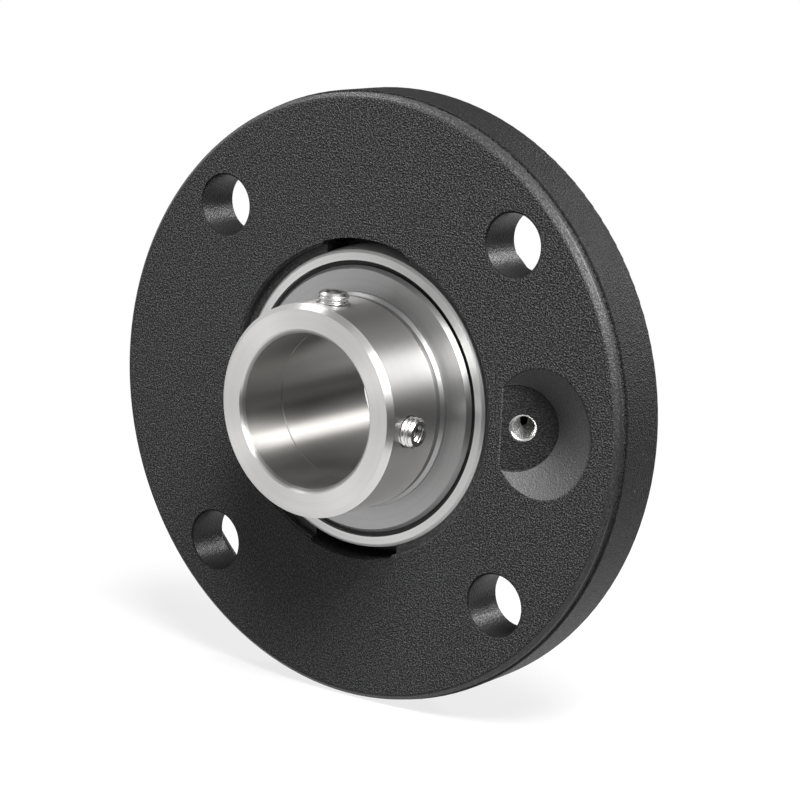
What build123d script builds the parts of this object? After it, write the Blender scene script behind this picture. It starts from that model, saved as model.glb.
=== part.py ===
from build123d import *
import os
from math import cos, radians, sin

# Flanged bearing unit: a round cast iron housing with four bolt holes, and a self-aligning
# ball bearing whose long inner ring is locked on the shaft by two set screws.
# Millimetres. +Z is up, the bore axis lies along Y, and the long nose points to -Y.
# The origin is on the bore axis, in the plane of the mounting face.

# Cast housing
flange_diameter = 160.0
flange_thickness = 18.5
flange_front_bevel = 1.0
rim_shoulder_drop = 0.6
rim_shoulder_width = 2.4
rim_corner_break = 0.3
flange_back_round = 1.0
bolt_hole_edge_distance = 15.0
bolt_hole_diameter = 16.0
bolt_hole_count = 4
bolt_hole_start_angle = 45.0
bolt_hole_edge_break = 0.4
spigot_hole_gap = 7.0
spigot_height = 7.0
spigot_edge_break = 1.2
rear_relief_depth = 5.5
rear_relief_rim_width = 3.5
rear_relief_hub_width = 4.0
rear_relief_round = 2.0
front_recess_margin = 1.2
front_recess_depth = 2.5
front_recess_edge_break = 0.5
rear_lip_height = 1.5
rear_bore_edge_break = 1.0
loading_slot_side_room = 3.7
loading_slot_end_room = 2.2
loading_slot_corner = 1.5

# Lubrication pocket at three o'clock, with its tilted floor and tapped hole
pocket_recess_gap = 4.0
pocket_floor_tilt = 35.0
pocket_floor_radius = 10.8
pocket_floor_inset = 3.7
pocket_wall_apex_depth = 7.1
pocket_wall_apex_shift = 7.35
pocket_wall_height = 20.0
nipple_hole_inset = 5.5
nipple_hole_tilt = 26.0
nipple_thread_core_diameter = 7.0
nipple_thread_depth = 11.0
grease_passage_diameter = 3.2
grease_groove_offset = 5.9
grease_groove_section_radius = 1.3

# Bearing
shaft_diameter = 40.0
sphere_diameter = 80.0
seat_clearance = 0.05
outer_ring_face_depth = 1.6
outer_ring_edge_break = 0.6
seal_bore_step = 2.1
seal_bore_depth = 2.3
outer_ring_wall = 5.8
ring_grease_hole_diameter = 1.8
ring_grease_hole_count = 2
inner_ring_length = 53.0
nose_projection = 22.0
nose_section_ratio = 0.375
nose_front_break = 1.4
nose_foot_gap = 2.4
nose_foot_break = 0.4
inner_land_drop = 1.3
inner_ring_back_break = 1.0
bore_edge_break = 1.1
bore_line_distance = 5.8
bore_line_width = 0.5
bore_line_depth = 0.2
ball_section_ratio = 0.2975
ball_count = 9
race_radius_ratio = 1.04
race_play = 0.02

# Cage of two pressed halves
cage_sheet = 0.8
cage_pocket_play = 0.2
cage_seal_gap = 0.25
cage_ribbon_width = 3.6
rivet_shank_diameter = 1.8
rivet_head_diameter = 3.0
rivet_head_height = 0.5

# Seals and flingers, both ends alike
seal_plate_thickness = 0.5
seal_rubber_thickness = 0.35
seal_lip_width = 1.1
seal_lip_clearance = 0.2
flinger_sheet = 0.8
flinger_face_depth = 0.8
flinger_bevel_width = 0.9
flinger_rim_gap = 1.3
flinger_rim_drop = 1.3
flinger_collar_height = 2.0
flinger_collar_reach = 1.7

# Set screws
set_screw_diameter = 8.0
set_screw_thread_clearance = 0.05
set_screw_length = 10.0
set_screw_distance = 8.0
set_screw_stand_proud = 2.8
set_screw_edge_break = 0.5
set_screw_cup_diameter = 4.0
set_screw_cup_depth = 1.2
set_screw_hex_across_flats = 4.0
set_screw_hex_depth = 4.5
set_screw_count = 2
set_screw_mouth_break = 0.6
set_screw_first_angle = -4.0
set_screw_spacing = 90.0

# Planes and radii that the pieces share
overcut = 1.0
bearing_section = sphere_diameter - shaft_diameter
ball_diameter = ball_section_ratio * bearing_section
cage_room = cage_pocket_play + cage_sheet + cage_seal_gap
outer_ring_width = ball_diameter + 2 * (cage_room + seal_bore_depth)
front_face_y = -flange_thickness
bearing_centre_y = front_face_y + outer_ring_face_depth + outer_ring_width / 2
nose_face_y = front_face_y - nose_projection
back_end_y = nose_face_y + inner_ring_length
nose_foot_y = front_face_y - nose_foot_gap
set_screw_y = nose_face_y + set_screw_distance
flange_radius = flange_diameter / 2
bolt_hole_radius = bolt_hole_diameter / 2
bolt_circle_radius = flange_radius - bolt_hole_edge_distance
spigot_radius = bolt_circle_radius - bolt_hole_radius - spigot_hole_gap
sphere_radius = sphere_diameter / 2
seat_radius = sphere_radius + seat_clearance
front_recess_radius = sphere_radius + front_recess_margin
rear_bore_radius = sphere_radius - rear_lip_height
pocket_edge_distance = front_recess_radius + pocket_recess_gap
nose_radius = (shaft_diameter + nose_section_ratio * bearing_section) / 2
inner_land_radius = nose_radius - inner_land_drop
outer_land_radius = sphere_radius - outer_ring_wall
seal_bore_radius = outer_land_radius + seal_bore_step
flinger_rim_radius = seal_bore_radius - flinger_rim_gap
flinger_flat_radius = flinger_rim_radius - flinger_bevel_width
flinger_collar_radius = inner_land_radius + flinger_collar_height
pitch_radius = (inner_land_radius + outer_land_radius) / 2
ball_radius = ball_diameter / 2
race_radius = ball_radius * race_radius_ratio
race_centre_offset = race_radius - ball_radius - race_play


def turned(points):
    """Turn a closed outline of (radius, y) points about the bore axis."""
    return revolve(make_face(Polyline(*points, close=True)), Axis.Y)


def rod(radius, y_from, y_to, x=0.0, z=0.0):
    """Make a plain cylinder along the bore direction."""
    return Pos(x, (y_from + y_to) / 2, z) * Rot(90, 0, 0) * Cylinder(radius, y_to - y_from)


def round_ball(radius):
    """Make a ball with its poles along the bore direction."""
    return Rot(90, 0, 0) * Sphere(radius)


def circle_edges(part, radius, y):
    """Pick the round edges of one radius in one plane across the bore axis."""
    near = 1e-3
    return [
        edge
        for edge in part.edges().filter_by(GeomType.CIRCLE)
        if abs(edge.radius - radius) < near and abs(edge.center().Y - y) < near
    ]


def around_bore(angle):
    """Turn a piece about the bore axis, counting from three o'clock towards the top."""
    return Rot(0, -angle, 0)


def end_side(side, piece):
    """Leave a front piece as it is, or mirror it through the balls' plane for the rear."""
    if side == "front":
        return piece
    return mirror(piece, about=Plane.XZ.offset(-bearing_centre_y))


def race_ring(centre_radius):
    """Make the ring that cuts a ball groove of round section."""
    return Pos(0, bearing_centre_y, 0) * Rot(90, 0, 0) * Torus(centre_radius, race_radius)


def make_pocket_cut():
    """Cut the lubrication pocket: a tilted round floor under a leaning cone."""
    tilt = radians(pocket_floor_tilt)
    along = Vector(cos(tilt), sin(tilt), 0)
    edge = Vector(pocket_edge_distance, front_face_y, 0)
    floor_plane = tilted_plane(edge + along * pocket_floor_inset, tilt)
    growth = 1 + pocket_wall_height / pocket_wall_apex_depth
    lean = -pocket_wall_apex_shift * (growth - 1)
    floor = floor_plane * Circle(pocket_floor_radius)
    mouth = floor_plane * Pos(lean, 0, pocket_wall_height) * Circle(pocket_floor_radius * growth)
    pocket = loft([floor, mouth], ruled=True)
    hole_centre = edge + along * nipple_hole_inset
    passage_length = (pocket_edge_distance + nipple_hole_inset * cos(tilt) - seat_radius) / sin(tilt)
    thread_plane = tilted_plane(hole_centre, radians(nipple_hole_tilt))
    thread = cut_down(thread_plane, nipple_thread_core_diameter, nipple_thread_depth)
    passage_plane = tilted_plane(hole_centre, tilt)
    passage = cut_down(passage_plane, grease_passage_diameter, passage_length + overcut)
    return pocket + thread + passage


def tilted_plane(place, tilt):
    """Give the plane through a point that leans from the flange face towards the rim."""
    across = Vector(cos(tilt), sin(tilt), 0)
    return Plane(place, x_dir=across, z_dir=Vector(sin(tilt), -cos(tilt), 0))


def cut_down(plane, diameter, depth):
    """Make a round cutter that starts above a plane and goes down to a depth below it."""
    length = depth + overcut
    return plane * Pos(0, 0, overcut - length / 2) * Cylinder(diameter / 2, length)


def make_loading_slots():
    """Cut the two slots that let the bearing in edgewise, at twelve and six o'clock."""
    reach = sphere_radius + loading_slot_end_room
    width = outer_ring_width + 2 * loading_slot_side_room
    plain = rod(reach, front_face_y - overcut, bearing_centre_y)
    width_box = Pos(0, bearing_centre_y, 0) * Box(width, flange_diameter, flange_diameter)
    slots = plain & width_box
    corners = slots.edges().filter_by(Axis.Y)
    return fillet(corners, loading_slot_corner)


def make_rear_relief():
    """Ring-shaped hollow of the back, which thins the flange where the bolts go through."""
    inner = spigot_radius + rear_relief_hub_width
    outer = flange_radius - rear_relief_rim_width
    relief = rod(outer, -rear_relief_depth, overcut) - rod(inner, -rear_relief_depth, overcut)
    floor_edges = circle_edges(relief, inner, -rear_relief_depth)
    floor_edges += circle_edges(relief, outer, -rear_relief_depth)
    return fillet(floor_edges, rear_relief_round)


def make_flange_housing():
    """Cast housing: round flange, spigot, hollow back, spherical seat, slots, holes and pocket."""
    shoulder_radius = flange_radius - rim_shoulder_drop
    bevel_y = front_face_y + flange_front_bevel
    shoulder_y = bevel_y + rim_shoulder_width
    body = turned(
        [
            (0, front_face_y),
            (shoulder_radius - flange_front_bevel, front_face_y),
            (shoulder_radius, bevel_y),
            (shoulder_radius, shoulder_y),
            (flange_radius - rim_corner_break, shoulder_y),
            (flange_radius, shoulder_y + rim_corner_break),
            (flange_radius, 0),
            (spigot_radius, 0),
            (spigot_radius, spigot_height),
            (0, spigot_height),
        ]
    )
    body = fillet(circle_edges(body, flange_radius, 0), flange_back_round)
    body = chamfer(circle_edges(body, spigot_radius, spigot_height), spigot_edge_break)
    body -= make_rear_relief()
    body -= Pos(0, bearing_centre_y, 0) * round_ball(seat_radius)
    recess_floor_y = front_face_y + front_recess_depth
    body -= rod(front_recess_radius, front_face_y - overcut, recess_floor_y)
    body -= rod(rear_bore_radius, bearing_centre_y, spigot_height + overcut)
    body = chamfer(circle_edges(body, front_recess_radius, front_face_y), front_recess_edge_break)
    body = chamfer(circle_edges(body, rear_bore_radius, spigot_height), rear_bore_edge_break)
    body -= make_loading_slots()
    groove_y = bearing_centre_y + grease_groove_offset
    groove_radius = (seat_radius**2 - grease_groove_offset**2) ** 0.5
    body -= Pos(0, groove_y, 0) * Rot(90, 0, 0) * Torus(groove_radius, grease_groove_section_radius)
    for index in range(bolt_hole_count):
        angle = radians(bolt_hole_start_angle + index * 360 / bolt_hole_count)
        x = bolt_circle_radius * cos(angle)
        z = bolt_circle_radius * sin(angle)
        body -= rod(bolt_hole_radius, front_face_y - overcut, overcut, x, z)
    mouths = circle_edges(body, bolt_hole_radius, front_face_y)
    mouths += circle_edges(body, bolt_hole_radius, -rear_relief_depth)
    body = chamfer(mouths, bolt_hole_edge_break)
    return body - make_pocket_cut()


def make_outer_ring():
    """Outer ring: spherical outside, ball groove, a seal bore at each end and grease holes."""
    half_width = outer_ring_width / 2
    front = bearing_centre_y - half_width
    back = bearing_centre_y + half_width
    ring = Pos(0, bearing_centre_y, 0) * round_ball(sphere_radius)
    ring &= rod(sphere_radius + overcut, front, back)
    face_radius = (sphere_radius**2 - half_width**2) ** 0.5
    rims = circle_edges(ring, face_radius, front) + circle_edges(ring, face_radius, back)
    ring = chamfer(rims, outer_ring_edge_break)
    ring -= rod(outer_land_radius, front - overcut, back + overcut)
    ring -= rod(seal_bore_radius, front - overcut, front + seal_bore_depth)
    ring -= rod(seal_bore_radius, back - seal_bore_depth, back + overcut)
    ring -= race_ring(pitch_radius - race_centre_offset)
    grease_y = bearing_centre_y + grease_groove_offset
    for index in range(ring_grease_hole_count):
        hole = Pos(pitch_radius + ball_radius, grease_y, 0) * Rot(0, 90, 0) * Cylinder(
            ring_grease_hole_diameter / 2, ball_diameter
        )
        ring -= around_bore(index * 360 / ring_grease_hole_count) * hole
    return ring


def make_inner_ring():
    """Inner ring: long nose in front, plain land, ball groove and two tapped holes."""
    bore = shaft_diameter / 2
    nose = nose_radius
    line_y = front_face_y - bore_line_distance
    half_line = bore_line_width / 2
    ring = turned(
        [
            (bore + bore_edge_break, nose_face_y),
            (nose - nose_front_break, nose_face_y),
            (nose, nose_face_y + nose_front_break),
            (nose, nose_foot_y - nose_foot_break),
            (nose - nose_foot_break, nose_foot_y),
            (inner_land_radius, nose_foot_y),
            (inner_land_radius, back_end_y - inner_ring_back_break),
            (inner_land_radius - inner_ring_back_break, back_end_y),
            (bore + bore_edge_break, back_end_y),
            (bore, back_end_y - bore_edge_break),
            (bore, line_y + half_line),
            (bore + bore_line_depth, line_y),
            (bore, line_y - half_line),
            (bore, nose_face_y + bore_edge_break),
        ]
    )
    ring -= race_ring(pitch_radius + race_centre_offset)
    for index in range(set_screw_count):
        tapped = Pos(nose, set_screw_y, 0) * Rot(0, 90, 0) * Cylinder(
            set_screw_diameter / 2, 2 * (nose - bore + overcut)
        )
        tapped += make_screw_mouth()
        ring -= around_bore(set_screw_first_angle + index * set_screw_spacing) * tapped
    return ring


def make_screw_mouth():
    """Cone that breaks the edge of a tapped hole in the nose."""
    low = set_screw_diameter / 2
    rise = 2 * set_screw_mouth_break
    cone = Cone(low, low + rise, rise)
    return Pos(nose_radius, set_screw_y, 0) * Rot(0, 90, 0) * cone


def make_ball(index):
    """One ball, in its place on the ball circle."""
    ball = Pos(pitch_radius, bearing_centre_y, 0) * round_ball(ball_radius)
    return around_bore(index * 360 / ball_count) * ball


def make_cage_cup(inside, outside):
    """Bend a strip of the ribbon half round a ball, about the line from the bore's centre."""
    section = (Circle(outside) - Circle(inside)) & Rectangle(cage_ribbon_width, 2 * outside)
    section &= Pos(0, -outside, 0) * Rectangle(cage_ribbon_width, 2 * outside)
    return Rot(90, 0, 0) * revolve(section, Axis.X, -180)


def make_cage_half():
    """Front half of the riveted cage: a flat ribbon with a round cup over each ball."""
    cup_inside = ball_radius + cage_pocket_play
    cup = make_cage_cup(cup_inside, cup_inside + cage_sheet)
    half_width = cage_ribbon_width / 2
    half = rod(pitch_radius + half_width, bearing_centre_y - cage_sheet, bearing_centre_y)
    half -= rod(pitch_radius - half_width, bearing_centre_y - ball_diameter, bearing_centre_y)
    ball_way = Rot(0, 90, 0) * Cylinder(cup_inside, cage_ribbon_width + 2 * overcut)
    for index in range(ball_count):
        place = around_bore(index * 360 / ball_count) * Pos(pitch_radius, bearing_centre_y, 0)
        half -= place * ball_way
        half += place * cup
        half -= rivet_place(index) * rivet_cut()
    return half


def rivet_place(index):
    """Put a rivet midway between two balls."""
    return around_bore((index + 0.5) * 360 / ball_count) * Pos(pitch_radius, bearing_centre_y, 0)


def rivet_cut():
    """Hole for one rivet shank, through one cage half and beyond both its faces."""
    return Rot(90, 0, 0) * Cylinder(rivet_shank_diameter / 2, 2 * (cage_sheet + overcut))


def make_cage_rivets():
    """Rivets that hold the two cage halves together, each a solid of its own."""
    grip = 2 * cage_sheet
    shank = Rot(90, 0, 0) * Cylinder(rivet_shank_diameter / 2, grip)
    head = Rot(90, 0, 0) * Cylinder(rivet_head_diameter / 2, rivet_head_height)
    head_y = (grip + rivet_head_height) / 2
    rivet = shank + Pos(0, -head_y, 0) * head + Pos(0, head_y, 0) * head
    return Compound(children=[rivet_place(index) * rivet for index in range(ball_count)])


def seal_levels():
    """Planes of the front seal: the plate's face and the seal bore's floor."""
    floor_y = front_face_y + outer_ring_face_depth + seal_bore_depth
    return floor_y - seal_plate_thickness, floor_y


def make_seal_carrier(side):
    """Steel plate of a seal, seated in the outer ring's seal bore."""
    plate_y, floor_y = seal_levels()
    lip_radius = inner_land_radius + seal_lip_clearance + seal_lip_width
    return end_side(
        side,
        turned(
            [
                (lip_radius, plate_y),
                (seal_bore_radius, plate_y),
                (seal_bore_radius, floor_y),
                (lip_radius, floor_y),
            ]
        ),
    )


def make_seal_lip(side):
    """Rubber of a seal: a cover bonded to the plate, with a lip round the inner ring."""
    plate_y, floor_y = seal_levels()
    rubber_y = plate_y - seal_rubber_thickness
    tip_radius = inner_land_radius + seal_lip_clearance
    lip_radius = tip_radius + seal_lip_width
    return end_side(
        side,
        turned(
            [
                (tip_radius, rubber_y),
                (seal_bore_radius, rubber_y),
                (seal_bore_radius, plate_y),
                (lip_radius, plate_y),
                (lip_radius, floor_y),
                (tip_radius, (plate_y + floor_y) / 2),
            ]
        ),
    )


def make_flinger(side):
    """Pressed steel flinger on the inner ring: collar, flat face and a bevelled rim."""
    face_y = front_face_y + flinger_face_depth
    collar_radius = flinger_collar_radius
    flat_radius = flinger_flat_radius
    rim_radius = flinger_rim_radius
    collar_end_y = face_y - flinger_collar_reach
    collar_inner = collar_radius - flinger_sheet
    return end_side(
        side,
        turned(
            [
                (inner_land_radius, collar_end_y),
                (collar_inner, collar_end_y),
                (collar_radius, collar_end_y + flinger_sheet),
                (collar_radius, face_y),
                (flat_radius, face_y),
                (rim_radius, face_y + flinger_rim_drop),
                (rim_radius - flinger_sheet, face_y + flinger_rim_drop),
                (flat_radius - flinger_sheet / 2, face_y + flinger_sheet),
                (inner_land_radius, face_y + flinger_sheet),
            ]
        ),
    )


def make_set_screw(index):
    """Socket set screw with a cup point, standing out of its tapped hole."""
    radius = set_screw_diameter / 2 - set_screw_thread_clearance
    top = nose_radius + set_screw_stand_proud
    screw = Pos(0, 0, -set_screw_length / 2) * Cylinder(radius, set_screw_length)
    screw = chamfer(screw.edges().filter_by(GeomType.CIRCLE), set_screw_edge_break)
    hexagon = RegularPolygon(set_screw_hex_across_flats / 2, 6, major_radius=False)
    screw -= Pos(0, 0, -set_screw_hex_depth) * extrude(hexagon, set_screw_hex_depth + overcut)
    cup = Cone(set_screw_cup_diameter / 2, 0, set_screw_cup_depth)
    screw -= Pos(0, 0, set_screw_cup_depth / 2 - set_screw_length) * cup
    placed = Pos(top, set_screw_y, 0) * Rot(0, 90, 0) * screw
    return around_bore(set_screw_first_angle + index * set_screw_spacing) * placed


def write(name, piece):
    """Write one piece to its own file."""
    export_step(piece, os.path.join("parts", name + ".step"))


def main():
    os.makedirs("parts", exist_ok=True)
    write("flange_housing", make_flange_housing())
    write("outer_ring", make_outer_ring())
    write("inner_ring", make_inner_ring())
    for index in range(ball_count):
        write(f"ball_{index + 1}", make_ball(index))
    write("cage_front_half", make_cage_half())
    write("cage_rear_half", end_side("rear", make_cage_half()))
    write("cage_rivets", make_cage_rivets())
    for side in ("front", "rear"):
        write(f"{side}_seal_carrier", make_seal_carrier(side))
        write(f"{side}_seal_lip", make_seal_lip(side))
        write(f"{side}_flinger", make_flinger(side))
    for index in range(set_screw_count):
        write(f"set_screw_{index + 1}", make_set_screw(index))


main()
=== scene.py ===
from math import cos, radians, sin, tau

import bmesh
import bpy
from bpy.props import FloatProperty, FloatVectorProperty, PointerProperty
from mathutils import Matrix, Vector


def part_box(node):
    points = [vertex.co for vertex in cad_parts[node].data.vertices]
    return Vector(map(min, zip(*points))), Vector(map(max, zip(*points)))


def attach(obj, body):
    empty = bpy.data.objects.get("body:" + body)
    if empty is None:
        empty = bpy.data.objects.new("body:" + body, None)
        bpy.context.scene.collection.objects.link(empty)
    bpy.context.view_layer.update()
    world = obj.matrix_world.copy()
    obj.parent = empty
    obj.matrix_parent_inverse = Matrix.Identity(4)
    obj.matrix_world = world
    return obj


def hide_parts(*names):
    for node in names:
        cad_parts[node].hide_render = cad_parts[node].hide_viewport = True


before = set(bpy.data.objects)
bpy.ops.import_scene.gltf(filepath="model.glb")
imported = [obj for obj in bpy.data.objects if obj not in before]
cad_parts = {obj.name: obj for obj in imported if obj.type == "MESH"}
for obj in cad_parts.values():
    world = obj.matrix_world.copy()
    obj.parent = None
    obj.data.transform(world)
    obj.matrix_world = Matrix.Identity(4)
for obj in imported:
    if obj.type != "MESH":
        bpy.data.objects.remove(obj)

bl_info = {
    "name": "Flanged Bearing Unit",
    "version": (1, 0, 0),
    "blender": (4, 5, 0),
    "location": "3D View > Sidebar > Bearing",
    "description": "Finishes, threads and studio for a flanged bearing unit",
    "category": "Object",
}

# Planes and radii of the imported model, in metres
flange_low, flange_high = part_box("flange_housing")
ring_low, ring_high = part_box("inner_ring")
front_face_y = flange_low[1]
flange_radius = flange_high[0]
nose_face_y = ring_low[1]
nose_radius = ring_high[0]
floor_z = flange_low[2]

# Places where the finishes change, in metres
bore_radius = 0.020
bolt_circle_radius = 0.065
bolt_hole_radius = 0.008
recess_radius = 0.0412
edge_bevel_radius = 0.0778
edge_shoulder_y = -0.0168
back_face_y = -0.0012
pocket_middle = (0.0535, front_face_y + 0.006, 0.0)
pocket_reach = 0.018
pocket_depth = 0.0122
pocket_edge_half = 0.0098
tapped_hole_bottom = 0.0112

# How softly one finish passes into the next, in metres
soft_edge = 0.0006

# Points closer than this become one, in metres
merge_distance = 1e-6

# Corners sharper than this stay sharp when a piece is shaded smooth
crease_angle = radians(38)

# The lamps look at this point, in metres
lamp_target = (0, -0.02, 0)

# Cards that only reflections see: name, centre, way across, way up, width, height and brightness
reflection_cards = (
    ("right_card", (0.75, -0.3, 0.02), (0, 1, 0), (0, 0, 1), 1.6, 0.19, 0.03),
    ("low_card", (0.45, -0.3, -0.077), (0, 1, 0), (1, 0, 0), 1.6, 0.60, 0.05),
    ("top_card", (-0.35, -0.1, 1.2), (0, 1, 0), (1, 0, 0.3), 1.6, 1.0, 0.45),
    ("overhead_card", (-0.55, 0.10, 0.85), (0, 1, 0), (0.85, 0, 0.5), 0.5, 0.30, 10.0),
    ("front_card", (-0.25, -0.90, 0.45), (1, -0.3, 0), (0, 0, 1), 0.5, 0.40, 0.20),
    ("left_card", (-1.20, -0.75, 0.22), (0.5, -0.85, 0), (0, 0, 1), 0.5, 0.36, 2.6),
    ("back_card", (0.75, 1.15, 0.02), (1, -0.7, 0), (0, 0, 1), 1.3, 0.62, 0.02),
    ("high_back_card", (-0.60, 1.10, 0.42), (1, 0.4, 0), (0, 0, 1), 1.4, 1.0, 0.03),
)


class CastingSettings(bpy.types.PropertyGroup):
    """Colours, gloss and grain of the cast housing"""
    colour: FloatVectorProperty(
        name="Coating", description="Colour of the black coated casting",
        default=(0.0090, 0.0090, 0.0093), subtype="COLOR", min=0.0, max=1.0)
    # Lighter flecks: partly the grain's own tone, partly painted glints on the grains
    fleck_glint_colour: FloatVectorProperty(
        name="Flecks", description="Colour of the lighter grains in the coating",
        default=(0.066, 0.066, 0.0667), subtype="COLOR", min=0.0, max=1.0)
    bare_colour: FloatVectorProperty(
        name="Bare iron", description="Colour of the iron that the tap laid bare",
        default=(0.70, 0.70, 0.69), subtype="COLOR", min=0.0, max=1.0)
    skin_gloss: FloatProperty(
        name="Skin gloss", description="Strength of the highlights on the grainy skin",
        default=0.14, subtype="FACTOR", min=0.0, max=1.0)
    machined_gloss: FloatProperty(
        name="Machined gloss", description="Strength of the highlights where the skin is smooth",
        default=0.38, subtype="FACTOR", min=0.0, max=1.0)
    grain_size: FloatProperty(
        name="Grain size", description="Width of one grain of the cast skin",
        default=0.00044, unit="LENGTH", min=0.0001, max=0.005, precision=5)
    grain_depth: FloatProperty(
        name="Grain depth", description="Height of the grain of the cast skin",
        default=0.00115, unit="LENGTH", min=0.0, max=0.002, precision=6)


class SteelSettings(bpy.types.PropertyGroup):
    """Colours and turning lines of the bearing's steel"""
    nose_colour: FloatVectorProperty(
        name="Inner ring", description="Colour of the bright inner ring",
        default=(0.62, 0.61, 0.60), subtype="COLOR", min=0.0, max=1.0)
    # Painted shade: the bore's steel is darker than the rest of the ring
    shaded_bore_colour: FloatVectorProperty(
        name="Bore", description="Colour of the inner ring's bore",
        default=(0.272, 0.262, 0.252), subtype="COLOR", min=0.0, max=1.0)
    ring_colour: FloatVectorProperty(
        name="Outer ring", description="Colour of the ground outer ring",
        default=(0.60, 0.60, 0.595), subtype="COLOR", min=0.0, max=1.0)
    flinger_colour: FloatVectorProperty(
        name="Flingers", description="Colour of the pressed flinger discs",
        default=(0.33, 0.33, 0.33), subtype="COLOR", min=0.0, max=1.0)
    ball_colour: FloatVectorProperty(
        name="Balls", description="Colour of the polished balls",
        default=(0.68, 0.68, 0.69), subtype="COLOR", min=0.0, max=1.0)
    cage_colour: FloatVectorProperty(
        name="Cage", description="Colour of the pressed cage and its rivets",
        default=(0.46, 0.45, 0.44), subtype="COLOR", min=0.0, max=1.0)
    seal_plate_colour: FloatVectorProperty(
        name="Seal plates", description="Colour of the steel plates that carry the seals",
        default=(0.40, 0.40, 0.40), subtype="COLOR", min=0.0, max=1.0)
    screw_colour: FloatVectorProperty(
        name="Set screws", description="Colour of the machined set screws",
        default=(0.66, 0.65, 0.64), subtype="COLOR", min=0.0, max=1.0)
    thread_colour: FloatVectorProperty(
        name="Thread", description="Colour of the bright thread in the lubrication hole",
        default=(0.90, 0.90, 0.89), subtype="COLOR", min=0.0, max=1.0)
    turning_pitch: FloatProperty(
        name="Turning lines", description="Distance between the fine turning lines",
        default=0.00028, unit="LENGTH", min=0.00005, max=0.002, precision=6)
    turning_depth: FloatProperty(
        name="Line depth", description="Depth of the fine turning lines",
        default=0.000004, unit="LENGTH", min=0.0, max=0.0001, precision=7)


class ScrewSettings(bpy.types.PropertyGroup):
    """Sizes and places of the two set screws"""
    radius: FloatProperty(
        name="Thread radius", description="Outer radius of the set screw thread",
        default=0.00392, unit="LENGTH", min=0.001, max=0.01, precision=5)
    pitch: FloatProperty(
        name="Pitch", description="Distance from one thread turn to the next",
        default=0.00125, unit="LENGTH", min=0.0003, max=0.003, precision=5)
    thread_depth: FloatProperty(
        name="Thread depth", description="Depth of the thread groove",
        default=0.0005, unit="LENGTH", min=0.0001, max=0.002, precision=5)
    length: FloatProperty(
        name="Length", description="Length of a set screw",
        default=0.010, unit="LENGTH", min=0.002, max=0.05)
    edge_break: FloatProperty(
        name="Edge break", description="Bevel at both ends of a set screw",
        default=0.00068, unit="LENGTH", min=0.0, max=0.002, precision=5)
    across_flats: FloatProperty(
        name="Key size", description="Width across flats of the hexagon socket",
        default=0.004, unit="LENGTH", min=0.001, max=0.01, precision=5)
    socket_depth: FloatProperty(
        name="Socket depth", description="Depth of the hexagon socket",
        default=0.0045, unit="LENGTH", min=0.001, max=0.01, precision=5)
    stand_proud: FloatProperty(
        name="Stand proud", description="How far a set screw stands out of the nose",
        default=0.0028, unit="LENGTH", min=0.0, max=0.01, precision=5)
    distance: FloatProperty(
        name="Distance", description="From the nose face to the middle of a set screw",
        default=0.008, unit="LENGTH", min=0.001, max=0.03, precision=5)
    first_angle: FloatProperty(
        name="First angle", description="Place of the first set screw round the bore",
        default=radians(-4), subtype="ANGLE", min=-tau, max=tau)
    spacing: FloatProperty(
        name="Spacing", description="Angle from one set screw to the next",
        default=radians(90), subtype="ANGLE", min=0.0, max=tau)


class NippleHoleSettings(bpy.types.PropertyGroup):
    """Sizes and place of the tapped lubrication hole in its pocket"""
    radius: FloatProperty(
        name="Hole radius", description="Radius of the tapped hole's wall",
        default=0.00348, unit="LENGTH", min=0.001, max=0.01, precision=5)
    pitch: FloatProperty(
        name="Pitch", description="Distance from one thread turn to the next",
        default=0.00175, unit="LENGTH", min=0.0003, max=0.003, precision=5)
    thread_depth: FloatProperty(
        name="Thread depth", description="How far the thread stands in from the wall",
        default=0.00055, unit="LENGTH", min=0.0001, max=0.002, precision=5)
    depth: FloatProperty(
        name="Depth", description="Length of the threaded stretch",
        default=0.0102, unit="LENGTH", min=0.002, max=0.03, precision=5)
    start: FloatProperty(
        name="Start", description="From the pocket floor to the first turn",
        default=0.0007, unit="LENGTH", min=0.0, max=0.01, precision=5)
    taper: FloatProperty(
        name="Taper", description="How much narrower the thread is at its far end",
        default=0.0010, unit="LENGTH", min=0.0, max=0.002, precision=5)
    floor_tilt: FloatProperty(
        name="Floor tilt", description="Angle between the pocket floor and the flange face",
        default=radians(35), subtype="ANGLE", min=0.0, max=radians(90))
    hole_tilt: FloatProperty(
        name="Hole tilt", description="Angle between the hole and the bore axis",
        default=radians(26), subtype="ANGLE", min=0.0, max=radians(90))
    edge_distance: FloatProperty(
        name="Pocket edge", description="From the bore axis to the pocket's straight edge",
        default=0.0452, unit="LENGTH", min=0.01, max=0.1, precision=5)
    inset: FloatProperty(
        name="Inset", description="From the pocket's edge to the hole, along the floor",
        default=0.0055, unit="LENGTH", min=0.0, max=0.05, precision=5)


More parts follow.
